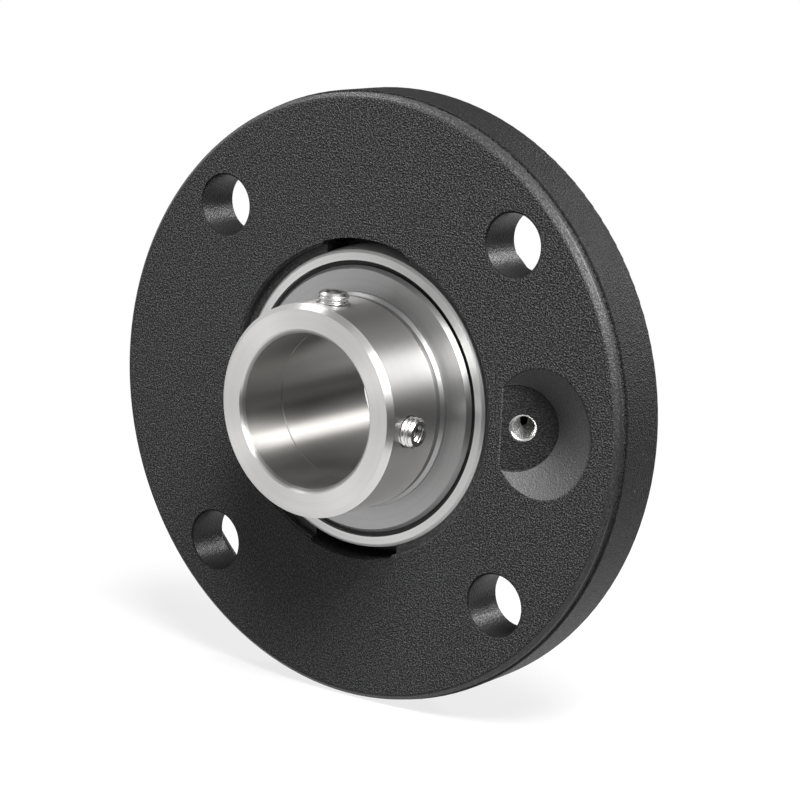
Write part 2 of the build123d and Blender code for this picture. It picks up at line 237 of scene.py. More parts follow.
class StageSettings(bpy.types.PropertyGroup):
    """Floor, lamps and camera of the studio"""
    floor_colour: FloatVectorProperty(
        name="Floor", description="Colour of the floor and backdrop",
        default=(0.60, 0.60, 0.60), subtype="COLOR", min=0.0, max=1.0)
    floor_bounce: FloatProperty(
        name="Floor bounce", description="Share of light that the floor throws back at the unit",
        default=0.12, subtype="FACTOR", min=0.0, max=1.0)
    floor_glow: FloatProperty(
        name="Floor white", description="How much of the floor's look is plain white",
        default=0.80, subtype="FACTOR", min=0.0, max=1.0)
    mirrored_white: FloatProperty(
        name="Mirrored white", description="How white the backdrop is in reflections",
        default=0.80, subtype="FACTOR", min=0.0, max=1.0)
    ambient: FloatProperty(
        name="Ambient", description="Strength of the even light from all round",
        default=0.04, min=0.0, max=2.0)
    casting_power: FloatProperty(
        name="Casting lamp", description="Power of the lamp that rakes over the matt casting",
        default=42.0, subtype="POWER", min=0.0, max=1000.0)
    key_power: FloatProperty(
        name="Steel lamp", description="Power of the large lamp that the steel mirrors",
        default=14.0, subtype="POWER", min=0.0, max=1000.0)
    side_power: FloatProperty(
        name="Side lamp", description="Power of the lamp behind the unit, at the right",
        default=7.5, subtype="POWER", min=0.0, max=1000.0)
    azimuth: FloatProperty(
        name="Camera azimuth", description="Camera's angle round the upright axis",
        default=radians(35.63), subtype="ANGLE", min=-tau, max=tau)
    elevation: FloatProperty(
        name="Camera elevation", description="Camera's angle above the bore",
        default=radians(11.39), subtype="ANGLE", min=-1.5, max=1.5)
    roll: FloatProperty(
        name="Camera roll", description="Camera's turn about its own view line",
        default=radians(2.55), subtype="ANGLE", min=-1.0, max=1.0)
    distance: FloatProperty(
        name="Camera distance", description="From the camera to the flange face",
        default=0.6743, unit="LENGTH", min=0.1, max=5.0)
    focal_length: FloatProperty(
        name="Focal length", description="Focal length of the lens on a 36 mm sensor",
        default=118.49, min=20.0, max=300.0)


def bare_material(name):
    """Start a material with nothing but its output."""
    material = bpy.data.materials.new(name)
    material.use_nodes = True
    tree = material.node_tree
    tree.nodes.clear()
    output = tree.nodes.new("ShaderNodeOutputMaterial")
    return material, tree, output.inputs["Surface"]


def fresh_material(name):
    """Start a material with one shader joined to its output."""
    material, tree, surface = bare_material(name)
    shader = tree.nodes.new("ShaderNodeBsdfPrincipled")
    tree.links.new(shader.outputs["BSDF"], surface)
    return material, tree, shader


def plug(tree, socket, value):
    """Join a node's output to a socket, or set the socket to a plain value."""
    if isinstance(value, bpy.types.NodeSocket):
        tree.links.new(value, socket)
    else:
        socket.default_value = value


def math(tree, operation, first, second=0.0, third=0.0):
    """Add a Math node."""
    made = tree.nodes.new("ShaderNodeMath")
    made.operation = operation
    for socket, value in zip(made.inputs, (first, second, third)):
        plug(tree, socket, value)
    return made.outputs[0]


def product(tree, first, *others):
    """Multiply values."""
    for other in others:
        first = math(tree, "MULTIPLY", first, other)
    return first


def largest(tree, first, *others):
    """Give the largest of some values."""
    for other in others:
        first = math(tree, "MAXIMUM", first, other)
    return first


def diagonal(tree, first, second):
    """Length of the line across two sides at right angles."""
    return math(tree, "SQRT", math(tree, "ADD", product(tree, first, first), product(tree, second, second)))


def spread(tree, value, low, high, to_low=0.0, to_high=1.0):
    """Map a range of values to another, smoothly, and clamp it."""
    made = tree.nodes.new("ShaderNodeMapRange")
    made.interpolation_type = "SMOOTHSTEP"
    names = ("Value", "From Min", "From Max", "To Min", "To Max")
    for name, item in zip(names, (value, low, high, to_low, to_high)):
        plug(tree, made.inputs[name], item)
    return made.outputs["Result"]


def up_to(tree, value, limit, blur=soft_edge):
    """Share of a finish where a value is below a limit, fading out just past it."""
    return spread(tree, value, limit, limit + blur, 1.0, 0.0)


def past(tree, value, limit, blur=soft_edge):
    """Share of a finish where a value is above a limit, fading in just past it."""
    return spread(tree, value, limit, limit + blur)


def with_noise(tree, height, low=0.0, high=1.0):
    """Let a value follow a noise, whose height lies mostly from 0.3 to 0.7."""
    return spread(tree, height, 0.3, 0.7, low, high)


def blend_colours(tree, factor, first, second):
    """Mix two colours."""
    made = tree.nodes.new("ShaderNodeMix")
    made.data_type = "RGBA"
    plug(tree, made.inputs[0], factor)
    for socket, value in ((made.inputs[6], first), (made.inputs[7], second)):
        plug(tree, socket, value if isinstance(value, bpy.types.NodeSocket) else (*value, 1.0))
    return made.outputs[2]


def noise(tree, vector, scale, detail=2.0, roughness=0.5):
    """Add a Noise Texture and give its height."""
    made = tree.nodes.new("ShaderNodeTexNoise")
    plug(tree, made.inputs["Vector"], vector)
    made.inputs["Scale"].default_value = scale
    made.inputs["Detail"].default_value = detail
    made.inputs["Roughness"].default_value = roughness
    return made.outputs["Fac"]


def bumped(tree, shader, height, distance):
    """Give a shader a bump of that height in metres."""
    made = tree.nodes.new("ShaderNodeBump")
    made.inputs["Strength"].default_value = 1.0
    made.inputs["Distance"].default_value = distance
    plug(tree, made.inputs["Height"], height)
    tree.links.new(made.outputs["Normal"], shader.inputs["Normal"])


def piece_place(tree):
    """Give the object coordinates, their X, Y and Z, and the distance from the bore axis."""
    coordinates = tree.nodes.new("ShaderNodeTexCoord").outputs["Object"]
    parts = tree.nodes.new("ShaderNodeSeparateXYZ")
    tree.links.new(coordinates, parts.inputs[0])
    x, y, z = parts.outputs
    return coordinates, x, y, z, diagonal(tree, x, z)


def turned_lines(tree, y, radius, pitch):
    """Height of fine lines that run round the bore on faces and cylinders alike."""
    joined = tree.nodes.new("ShaderNodeCombineXYZ")
    plug(tree, joined.inputs[0], radius)
    plug(tree, joined.inputs[1], y)
    return noise(tree, joined.outputs[0], 1 / pitch, detail=3.0, roughness=0.65)


def vector_math(tree, operation, first, second):
    """Add a Vector Math node with two vectors."""
    made = tree.nodes.new("ShaderNodeVectorMath")
    made.operation = operation
    plug(tree, made.inputs[0], first)
    plug(tree, made.inputs[1], second)
    return made.outputs


def turned_gloss(tree, shader, place, amount):
    """Stretch the highlights across the turning lines, which run round the bore."""
    around = vector_math(tree, "CROSS_PRODUCT", (0.0, 1.0, 0.0), place)["Vector"]
    turn = tree.nodes.new("ShaderNodeVectorTransform")
    turn.vector_type = "VECTOR"
    turn.convert_from = "OBJECT"
    turn.convert_to = "WORLD"
    plug(tree, turn.inputs[0], around)
    plug(tree, shader.inputs["Tangent"], turn.outputs[0])
    quarter_turn = 0.25
    shader.inputs["Anisotropic"].default_value = amount
    shader.inputs["Anisotropic Rotation"].default_value = quarter_turn


def nipple_hole_place(hole):
    """Give the middle of the lubrication hole's mouth, and the way out of the hole."""
    edge = Vector((hole.edge_distance, front_face_y, 0))
    mouth = edge + Vector((cos(hole.floor_tilt), sin(hole.floor_tilt), 0)) * hole.inset
    return mouth, Vector((sin(hole.hole_tilt), -cos(hole.hole_tilt), 0))


def hole_share(tree, place, hole):
    """Share of a finish that lies inside the lubrication hole, where the tap cut bare iron."""
    mouth, outward = nipple_hole_place(hole)
    offset = vector_math(tree, "SUBTRACT", place, tuple(mouth))["Vector"]
    depth = vector_math(tree, "DOT_PRODUCT", offset, tuple(-outward))["Value"]
    across = vector_math(tree, "CROSS_PRODUCT", offset, tuple(outward))["Vector"]
    radius = vector_math(tree, "LENGTH", across, (0.0, 0.0, 0.0))["Value"]
    inside = up_to(tree, radius, hole.radius + 0.00004, blur=0.00008)
    below_mouth = past(tree, depth, hole.start - 0.0001, blur=0.0002)
    above_bottom = up_to(tree, depth, tapped_hole_bottom)
    return product(tree, inside, below_mouth, above_bottom)


def bolt_hole_share(tree, x, z):
    """Share of the finish that lies in the four bolt holes."""
    offset = bolt_circle_radius * cos(radians(45))
    from_hole_x = math(tree, "SUBTRACT", math(tree, "ABSOLUTE", x), offset)
    from_hole_z = math(tree, "SUBTRACT", math(tree, "ABSOLUTE", z), offset)
    return up_to(tree, diagonal(tree, from_hole_x, from_hole_z), bolt_hole_radius)


def pocket_shares(tree, place, y, hole):
    """Shares of the finish that lie on the pocket's wall and on its tilted floor."""
    behind_face = past(tree, y, front_face_y + 0.00005, blur=0.00015)
    before_back = up_to(tree, y, front_face_y + pocket_depth, blur=0.0004)
    distance = vector_math(tree, "DISTANCE", place, pocket_middle)["Value"]
    near_pocket = up_to(tree, distance, pocket_reach, blur=0.002)
    in_pocket = product(tree, behind_face, before_back, near_pocket)
    from_edge = vector_math(tree, "SUBTRACT", place, (hole.edge_distance, front_face_y, 0.0))["Vector"]
    floor_normal = (sin(hole.floor_tilt), -cos(hole.floor_tilt), 0.0)
    above_floor = vector_math(tree, "DOT_PRODUCT", from_edge, floor_normal)["Value"]
    is_wall = past(tree, above_floor, 0.0001, blur=0.0002)
    wall_strength = 0.8
    on_wall = product(tree, in_pocket, wall_strength, is_wall)
    on_floor = product(tree, in_pocket, math(tree, "SUBTRACT", 1.0, is_wall))
    return on_wall, on_floor


def pocket_edge_highlight_share(tree, x, y, z, hole):
    """Share of the painted highlight on the line where the pocket's floor meets the flange face."""
    from_edge = math(tree, "ABSOLUTE", math(tree, "SUBTRACT", x, hole.edge_distance))
    half_width, blur, edge_highlight_strength = 0.00008, 0.00018, 0.55
    on_line = product(tree, up_to(tree, from_edge, half_width, blur), edge_highlight_strength)
    before_end = up_to(tree, math(tree, "ABSOLUTE", z), pocket_edge_half)
    at_face = up_to(tree, y, front_face_y + 0.0003, blur=0.0002)
    return product(tree, on_line, before_end, at_face)


def shaded(colour, share):
    """Make a colour darker or lighter."""
    return tuple(share * part for part in colour)


def casting_finish(settings, hole):
    """Black coated cast skin, grainy on the faces and smoother where it is machined."""
    material, tree, shader = fresh_material("black_coated_casting")
    place, x, y, z, radius = piece_place(tree)
    in_bolt_hole = bolt_hole_share(tree, x, z)
    in_recess = up_to(tree, radius, recess_radius)
    on_back = past(tree, y, back_face_y, blur=0.0008)
    towards_rim = product(tree, past(tree, radius, flange_radius - 0.0014, blur=0.0011), 0.75)
    before_shoulder = up_to(tree, y, edge_shoulder_y, blur=0.0008)
    on_front_edge = product(tree, past(tree, radius, edge_bevel_radius), before_shoulder)
    on_rim = past(tree, radius, flange_radius - 0.0008, blur=0.0005)
    on_wall, on_floor = pocket_shares(tree, place, y, hole)

    # The skin's grain is low where a tool or the mould's core left it smooth
    machined = largest(tree, in_bolt_hole, in_recess, on_back, towards_rim, on_front_edge, on_wall)
    turned = largest(tree, in_bolt_hole, on_front_edge)
    smoothness = ((machined, 0.75), (on_floor, 0.45), (turned, 0.88))
    smooth = largest(tree, *(product(tree, share, amount) for share, amount in smoothness))
    rough_share = math(tree, "SUBTRACT", 1.0, smooth)
    grain = noise(tree, place, 1 / settings.grain_size, detail=1.5, roughness=0.5)
    bumped(tree, shader, product(tree, grain, rough_share), settings.grain_depth)

    # Lighter flecks on the grains, partly grain tone and partly painted glints, then a colour for each
    # place, laid over the ones before
    least_flecks = 0.4
    fleck_strength = math(tree, "ADD", product(tree, rough_share, 1 - least_flecks), least_flecks)
    fleck_glint_share = product(tree, spread(tree, grain, 0.42, 0.66), fleck_strength)
    coat = blend_colours(tree, fleck_glint_share, settings.colour, settings.fleck_glint_colour)
    bare = hole_share(tree, place, hole)
    # Painted shade: a darker coat for the rim and the bolt holes
    painted_shade = shaded(settings.colour, 0.42)
    layers = (
        (on_rim, 1.0, painted_shade),
        (in_bolt_hole, 0.9, painted_shade),
        # Painted highlight: the pocket's wall gets a paler colour for the light it catches
        (on_wall, 0.9, shaded(settings.fleck_glint_colour, 1.05)),
        (on_floor, 0.6, settings.colour),
        # Painted highlight along the line where the pocket's floor meets the face
        (pocket_edge_highlight_share(tree, x, y, z, hole), 1.0, shaded(settings.fleck_glint_colour, 1.5)),
        (bare, 1.0, settings.bare_colour),
    )
    for share, amount, colour in layers:
        coat = blend_colours(tree, product(tree, share, amount), coat, colour)
    plug(tree, shader.inputs["Base Color"], coat)
    plug(tree, shader.inputs["Metallic"], bare)

    # The bolt holes are a little smoother, and they and the rim reflect less
    hole_smoothness, hole_dullness, rim_gloss = 0.04, 0.12, 0.50
    roughness = with_noise(tree, grain, 0.50, 0.38)
    roughness = math(tree, "SUBTRACT", roughness, product(tree, in_bolt_hole, hole_smoothness))
    plug(tree, shader.inputs["Roughness"], roughness)
    gloss = spread(tree, machined, 0.0, 1.0, settings.skin_gloss, settings.machined_gloss)
    gloss = math(tree, "SUBTRACT", gloss, product(tree, in_bolt_hole, hole_dullness))
    at_rim = spread(tree, on_rim, 0.0, 1.0, 1.0, rim_gloss)
    plug(tree, shader.inputs["Specular IOR Level"], product(tree, gloss, at_rim))
    return material


def steel_finish(name, colour, settings, roughness, line_share=1.0, gloss_stretch=0.0):
    """Bright turned or ground steel with fine lines round the bore."""
    material, tree, shader = fresh_material(name)
    place, _, y, _, radius = piece_place(tree)
    lines = turned_lines(tree, y, radius, settings.turning_pitch)
    shade = blend_colours(tree, with_noise(tree, lines), shaded(colour, 0.95), tuple(colour))
    plug(tree, shader.inputs["Base Color"], shade)
    shader.inputs["Metallic"].default_value = 1.0
    unevenness = 0.03
    uneven = with_noise(tree, lines, roughness + unevenness, roughness - unevenness)
    plug(tree, shader.inputs["Roughness"], uneven)
    if gloss_stretch:
        turned_gloss(tree, shader, place, gloss_stretch)
    bumped(tree, shader, lines, settings.turning_depth * line_share)
    return material


def nose_finish(settings):
    """Inner ring steel: ground lines outside, and long drawn streaks and painted shade inside the bore."""
    streaks_per_metre, streak_stretch = 420.0, 0.03
    material, tree, shader = fresh_material("bright_turned_steel")
    place, _, y, _, radius = piece_place(tree)
    lines = turned_lines(tree, y, radius, settings.turning_pitch)
    stretched = tree.nodes.new("ShaderNodeMapping")
    stretched.inputs["Scale"].default_value = (1.0, streak_stretch, 1.0)
    plug(tree, stretched.inputs["Vector"], place)
    streaks = noise(tree, stretched.outputs[0], streaks_per_metre, detail=3.0)
    in_bore = up_to(tree, radius, bore_radius + 0.0003)
    bore_streaks = product(tree, with_noise(tree, streaks, -0.15, 0.15), in_bore)
    height = math(tree, "ADD", lines, bore_streaks)
    bright = tuple(settings.nose_colour)
    shade = blend_colours(tree, with_noise(tree, height), shaded(bright, 0.94), bright)
    # Painted shade: a darker colour inside the bore
    with_bore_shade = blend_colours(tree, in_bore, shade, tuple(settings.shaded_bore_colour))
    plug(tree, shader.inputs["Base Color"], with_bore_shade)
    shader.inputs["Metallic"].default_value = 1.0
    bore_dullness = 0.09
    roughness = with_noise(tree, height, 0.36, 0.33)
    roughness = math(tree, "ADD", roughness, product(tree, in_bore, bore_dullness))
    plug(tree, shader.inputs["Roughness"], roughness)
    turned_gloss(tree, shader, place, 0.9)
    bumped(tree, shader, lines, settings.turning_depth)
    return material


def rubber_finish():
    """Black rubber with a faint bloom."""
    blooms_per_metre, grains_per_metre, grain_depth = 300.0, 2500.0, 0.00001
    material, tree, shader = fresh_material("black_seal_rubber")
    place = piece_place(tree)[0]
    bloom = spread(tree, noise(tree, place, blooms_per_metre, detail=3.0), 0.4, 0.8)
    colour = blend_colours(tree, bloom, (0.010, 0.010, 0.010), (0.024, 0.024, 0.024))
    plug(tree, shader.inputs["Base Color"], colour)
    shader.inputs["Roughness"].default_value = 0.55
    shader.inputs["Specular IOR Level"].default_value = 0.4
    bumped(tree, shader, noise(tree, place, grains_per_metre), grain_depth)
    return material


def wipe_slots(piece, material):
    """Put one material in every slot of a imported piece."""
    for slot in piece.material_slots:
        slot.link = "DATA"
    piece.data.materials.clear()
    piece.data.materials.append(material)


def finish_nodes(names, material):
    """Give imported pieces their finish."""
    for name in names:
        wipe_slots(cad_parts[name], material)


class NodeTree:
    """A geometry node tree under construction, with named inputs."""

    def __init__(self, name):
        self.tree = bpy.data.node_groups.new(name, "GeometryNodeTree")
        self.inside = self.tree.nodes.new("NodeGroupInput")
        self.outside = self.tree.nodes.new("NodeGroupOutput")
        self.tree.interface.new_socket("Geometry", in_out="OUTPUT", socket_type="NodeSocketGeometry")
        self.sockets = {}

    def input(self, name, kind="NodeSocketFloat"):
        """Add a named input and give its socket inside the tree."""
        item = self.tree.interface.new_socket(name, in_out="INPUT", socket_type=kind)
        self.sockets[name] = item.identifier
        return self.inside.outputs[name]

    def add(self, kind, settings=(), **values):
        """Add a node with its settings, and fill the inputs of those names."""
        made = self.tree.nodes.new(kind)
        for name, value in dict(settings).items():
            setattr(made, name, value)
        for name, value in values.items():
            plug(self.tree, made.inputs[name.replace("_", " ")], value)
        return made

    def inputs(self, *names):
        """Add several named number inputs."""
        return [self.input(name) for name in names]

    def math(self, operation, first, second=0.0, third=0.0):
        """Add a Math node."""
        return math(self.tree, operation, first, second, third)

    def product(self, first, *others):
        """Multiply values."""
        return product(self.tree, first, *others)

    def limited(self, value):
        """Keep a value from 0 to 1."""
        return self.math("MINIMUM", self.math("MAXIMUM", value, 0.0), 1.0)

    def finish(self, geometry, material):
        """Make the result real, give it its material and send it out."""
        real = self.add("GeometryNodeRealizeInstances", Geometry=geometry)
        coat = self.add("GeometryNodeSetMaterial", Geometry=real.outputs[0], Material=material)
        self.tree.links.new(coat.outputs[0], self.outside.inputs[0])
        return self.tree


def thread_height(nodes, along, turn, pitch):
    """Height of a V thread from 0 at its root to 1 at its crest."""
    root_flat, steepness = 0.12, 1.32
    phase = nodes.math("FRACT", nodes.math("ADD", nodes.math("DIVIDE", along, pitch), turn))
    wave = nodes.math("ABSOLUTE", nodes.math("SUBTRACT", nodes.product(phase, 2.0), 1.0))
    return nodes.limited(nodes.product(nodes.math("SUBTRACT", wave, root_flat), steepness))


def polar_point(nodes, radius, turn, height):
    """A point at that radius and turn about Z."""
    angle = nodes.product(turn, tau)
    point = nodes.add("ShaderNodeCombineXYZ")
    plug(nodes.tree, point.inputs[0], nodes.product(radius, nodes.math("COSINE", angle)))
    plug(nodes.tree, point.inputs[1], nodes.product(radius, nodes.math("SINE", angle)))
    plug(nodes.tree, point.inputs[2], height)
    return point.outputs[0]


def unit_grid(nodes, around, along):
    """A flat grid whose X is the turn and whose Y is the way along, both from 0 to 1."""
    grid = nodes.add(
        "GeometryNodeMeshGrid", Size_X=1.0, Size_Y=1.0, Vertices_X=around + 1, Vertices_Y=along + 1)
    place = nodes.add("ShaderNodeSeparateXYZ")
    nodes.tree.links.new(nodes.add("GeometryNodeInputPosition").outputs[0], place.inputs[0])
    turn = nodes.math("ADD", place.outputs[0], 0.5)
    way = nodes.math("ADD", place.outputs[1], 0.5)
    return grid.outputs["Mesh"], turn, way


def screw_tree():
    """Socket set screw: threaded rod with bevelled ends and a hexagon socket."""
    around, along = 72, 96
    plain_turns = 1.4
    nodes = NodeTree("set_screw")
    radius, pitch, depth, length = nodes.inputs("Radius", "Pitch", "Thread Depth", "Length")
    edge, key, socket_depth = nodes.inputs("Edge Break", "Key Size", "Socket Depth")
    material = nodes.input("Material", "NodeSocketMaterial")
    grid, turn, way = unit_grid(nodes, around, along)
    down = nodes.product(way, length)
    crest = thread_height(nodes, down, turn, pitch)
    plain = nodes.limited(nodes.math("SUBTRACT", plain_turns, nodes.math("DIVIDE", down, pitch)))
    shape = nodes.math("MAXIMUM", crest, plain)
    root = nodes.math("SUBTRACT", radius, depth)
    threaded = nodes.math("ADD", root, nodes.product(shape, depth))
    from_end = nodes.math("MINIMUM", down, nodes.math("SUBTRACT", length, down))
    tip = nodes.math("SUBTRACT", radius, edge)
    limited = nodes.math("MINIMUM", threaded, nodes.math("ADD", tip, from_end))
    wall_point = polar_point(nodes, limited, turn, nodes.product(down, -1.0))
    wall = nodes.add("GeometryNodeSetPosition", Geometry=grid, Position=wall_point)
    cap = nodes.add("GeometryNodeMeshCircle", {"fill_type": "NGON"}, Vertices=around, Radius=tip)
    low_place = nodes.add("ShaderNodeCombineXYZ", Z=nodes.product(length, -1.0)).outputs[0]
    low_cap = nodes.add("GeometryNodeTransform", Geometry=cap.outputs[0], Translation=low_place)
    joined = nodes.add("GeometryNodeJoinGeometry")
    for part in (wall, cap, low_cap):
        nodes.tree.links.new(part.outputs[0], joined.inputs[0])
    rod = nodes.add("GeometryNodeMergeByDistance", Geometry=joined.outputs[0], Distance=merge_distance)
    corner = nodes.math("DIVIDE", key, 3 ** 0.5)
    cutter_length = nodes.product(socket_depth, 2.0)
    hexagon = nodes.add("GeometryNodeMeshCylinder", Vertices=6, Radius=corner, Depth=cutter_length)
    tool = nodes.add("GeometryNodeMeshBoolean", {"operation": "DIFFERENCE", "solver": "EXACT"})
    nodes.tree.links.new(rod.outputs[0], tool.inputs[0])
    nodes.tree.links.new(hexagon.outputs["Mesh"], tool.inputs[1])
    return nodes.finish(tool.outputs["Mesh"], material), nodes.sockets


def nipple_thread_tree():
    """Thread inside the lubrication hole: a thin ring whose inner wall is the thread."""
    around, threads = 72, 110
    rows = threads + 3
    run_in, skin, tolerance = 0.0005, 0.00004, 0.4
    nodes = NodeTree("nipple_hole_thread")
    radius, pitch, depth, length, taper = nodes.inputs(
        "Radius", "Pitch", "Thread Depth", "Length", "Taper")
    material = nodes.input("Material", "NodeSocketMaterial")
    grid, turn, way = unit_grid(nodes, around, rows)

    # The rows go down the thread, then up the outer wall and back to the first row
    row = nodes.math("ROUND", nodes.product(way, float(rows)))
    share = nodes.math("DIVIDE", nodes.math("MINIMUM", row, float(threads)), float(threads))
    is_outer_low, is_outer_high, is_last = (
        nodes.math("COMPARE", row, threads + number, tolerance) for number in (1.0, 2.0, 3.0))
    at_top = nodes.math("MAXIMUM", is_outer_high, is_last)
    down = nodes.product(share, nodes.math("SUBTRACT", 1.0, at_top), length)
    crest = thread_height(nodes, down, turn, pitch)
    mouth = nodes.math("MINIMUM", nodes.math("DIVIDE", down, run_in), 1.0)
    narrowed = nodes.product(nodes.math("DIVIDE", down, length), taper)
    cut = nodes.product(crest, depth, mouth)
    rise = nodes.math("ADD", nodes.math("ADD", cut, narrowed), skin)
    on_outer = nodes.math("MAXIMUM", is_outer_low, is_outer_high)
    inward = nodes.product(rise, nodes.math("SUBTRACT", 1.0, on_outer))
    wall_point = polar_point(
        nodes, nodes.math("SUBTRACT", radius, inward), turn, nodes.product(down, -1.0))
    bent = nodes.add("GeometryNodeSetPosition", Geometry=grid, Position=wall_point)
    ring = nodes.add("GeometryNodeMergeByDistance", Geometry=bent.outputs[0], Distance=merge_distance)
    return nodes.finish(ring.outputs[0], material), nodes.sockets


def made_piece(name, tree_and_sockets, values, place):
    """Run a node tree once, and keep its result as a plain, smoothly shaded mesh in its place."""
    tree, sockets = tree_and_sockets
    holder = bpy.data.objects.new(name, bpy.data.meshes.new(name))
    bpy.context.scene.collection.objects.link(holder)
    modifier = holder.modifiers.new("Shape", "NODES")
    modifier.node_group = tree
    for label, value in values.items():
        modifier[sockets[label]] = value
    graph = bpy.context.evaluated_depsgraph_get()
    mesh = bpy.data.meshes.new_from_object(holder.evaluated_get(graph))
    holder.modifiers.remove(modifier)
    if not mesh.polygons:
        raise RuntimeError(f"{name} came out empty")
    mesh.transform(place)
    shape = bmesh.new()
    shape.from_mesh(mesh)
    bmesh.ops.recalc_face_normals(shape, faces=shape.faces)
    shape.to_mesh(mesh)
    shape.free()
    mesh.name = name
    old = holder.data
    holder.data = mesh
    bpy.data.meshes.remove(old)
    mesh.shade_smooth()
    mesh.set_sharp_from_angle(angle=crease_angle)
    return holder


class BEARING_OT_housing(bpy.types.Operator):
    """Finish the cast housing"""
    bl_idname = "bearing.housing"
    bl_label = "Cast Housing"

    def execute(self, context):
        scene = context.scene
        skin = casting_finish(scene.bearing_casting, scene.bearing_nipple_hole)
        finish_nodes(["flange_housing"], skin)
        return {"FINISHED"}


class BEARING_OT_rings(bpy.types.Operator):
    """Finish the inner and outer ring"""
    bl_idname = "bearing.rings"
    bl_label = "Bearing Rings"

    def execute(self, context):
        steel = context.scene.bearing_steel
        finish_nodes(["inner_ring"], nose_finish(steel))
        ground = steel_finish(
            "ground_ring_steel", steel.ring_colour, steel, roughness=0.42, gloss_stretch=0.85)
        finish_nodes(["outer_ring"], ground)
        return {"FINISHED"}


class BEARING_OT_rolling(bpy.types.Operator):
    """Finish the balls and their cage"""
    bl_idname = "bearing.rolling"
    bl_label = "Balls and Cage"

    def execute(self, context):
        steel = context.scene.bearing_steel
        balls = [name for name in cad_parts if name.startswith("ball_")]
        polished = steel_finish(
            "polished_ball_steel", steel.ball_colour, steel, roughness=0.10, line_share=0.1)
        finish_nodes(balls, polished)
        cage = steel_finish(
            "pressed_cage_steel", steel.cage_colour, steel, roughness=0.36, line_share=0.5)
        finish_nodes(["cage_front_half", "cage_rear_half", "cage_rivets"], cage)
        return {"FINISHED"}


class BEARING_OT_seals(bpy.types.Operator):
    """Finish the seals and flingers at both ends"""
    bl_idname = "bearing.seals"
    bl_label = "Seals and Flingers"

    def execute(self, context):
        steel = context.scene.bearing_steel
        flinger = steel_finish(
            "pressed_flinger_steel", steel.flinger_colour, steel,
            roughness=0.40, line_share=0.4, gloss_stretch=0.7)
        finish_nodes(["front_flinger", "rear_flinger"], flinger)
        plate = steel_finish(
            "seal_plate_steel", steel.seal_plate_colour, steel, roughness=0.40, line_share=0.5)
        finish_nodes(["front_seal_carrier", "rear_seal_carrier"], plate)
        finish_nodes(["front_seal_lip", "rear_seal_lip"], rubber_finish())
        return {"FINISHED"}


class BEARING_OT_set_screws(bpy.types.Operator):
    """Make the threaded set screws in the nose"""
    bl_idname = "bearing.set_screws"
    bl_label = "Set Screws"

    def execute(self, context):
        screw = context.scene.bearing_screw
        steel = context.scene.bearing_steel
        finish = steel_finish(
            "machined_screw_steel", steel.screw_colour, steel, roughness=0.24, line_share=0.3)
        tree = screw_tree()
        values = {
            "Radius": screw.radius, "Pitch": screw.pitch, "Thread Depth": screw.thread_depth,
            "Length": screw.length, "Edge Break": screw.edge_break, "Key Size": screw.across_flats,
            "Socket Depth": screw.socket_depth, "Material": finish,
        }
        outer_end = (nose_radius + screw.stand_proud, nose_face_y + screw.distance, 0)
        at_three = Matrix.Translation(outer_end) @ Matrix.Rotation(radians(90), 4, "Y")
        for number in (1, 2):
            angle = screw.first_angle + (number - 1) * screw.spacing
            place = Matrix.Rotation(-angle, 4, "Y") @ at_three
            piece = made_piece(f"threaded_set_screw_{number}", tree, values, place)
            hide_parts(f"set_screw_{number}")
            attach(piece, f"set_screw_{number}")
        return {"FINISHED"}


class BEARING_OT_nipple_thread(bpy.types.Operator):
    """Make the thread in the lubrication hole"""
    bl_idname = "bearing.nipple_thread"
    bl_label = "Lubrication Thread"

    def execute(self, context):
        hole = context.scene.bearing_nipple_hole
        mouth, outward = nipple_hole_place(hole)
        along = Vector((0, 0, 1)).cross(outward)
        turn = Matrix((along, outward.cross(along), outward)).transposed().to_4x4()
        first_turn = mouth - outward * hole.start
        steel = context.scene.bearing_steel
        finish = steel_finish(
            "bright_thread_steel", steel.thread_colour, steel, roughness=0.22, line_share=0.2)
        values = {
            "Radius": hole.radius, "Pitch": hole.pitch, "Thread Depth": hole.thread_depth,
            "Length": hole.depth, "Taper": hole.taper, "Material": finish,
        }
        place = Matrix.Translation(first_turn) @ turn
        piece = made_piece("nipple_hole_thread", nipple_thread_tree(), values, place)
        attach(piece, "housing")
        return {"FINISHED"}


def white_glow(tree, strength):
    """Add a white glow of that strength."""
    glow = tree.nodes.new("ShaderNodeEmission")
    glow.inputs["Color"].default_value = (1.0, 1.0, 1.0, 1.0)
    glow.inputs["Strength"].default_value = strength
    return glow.outputs[0]


def stage_material(settings):
    """Floor and backdrop: pale and matt, and mostly plain white where it is seen or mirrored."""
    near, far = 0.10, 0.34
    material, tree, surface = bare_material("pale_studio_floor")
    path = tree.nodes.new("ShaderNodeLightPath").outputs
    matt = tree.nodes.new("ShaderNodeBsdfDiffuse")
    bounce = (settings.floor_bounce,) * 3
    colour = blend_colours(tree, path["Is Diffuse Ray"], tuple(settings.floor_colour), bounce)
    plug(tree, matt.inputs["Color"], colour)
    seen = largest(tree, path["Is Camera Ray"], path["Is Glossy Ray"], path["Is Transmission Ray"])
    x, y = piece_place(tree)[1:3]
    glow_share = spread(tree, diagonal(tree, x, y), near, far, settings.floor_glow, 1.0)
    mixed = tree.nodes.new("ShaderNodeMixShader")
    plug(tree, mixed.inputs[0], product(tree, seen, glow_share))
    tree.links.new(matt.outputs[0], mixed.inputs[1])
    tree.links.new(white_glow(tree, 1.0), mixed.inputs[2])
    tree.links.new(mixed.outputs[0], surface)
    return material


def flat_card(name, corners, material):
    """Make a flat stage card from its corners."""
    mesh = bpy.data.meshes.new(name)
    mesh.from_pydata([tuple(corner) for corner in corners], [], [range(len(corners))])
    mesh.materials.append(material)
    card = bpy.data.objects.new(name, mesh)
    bpy.context.scene.collection.objects.link(card)
    return card


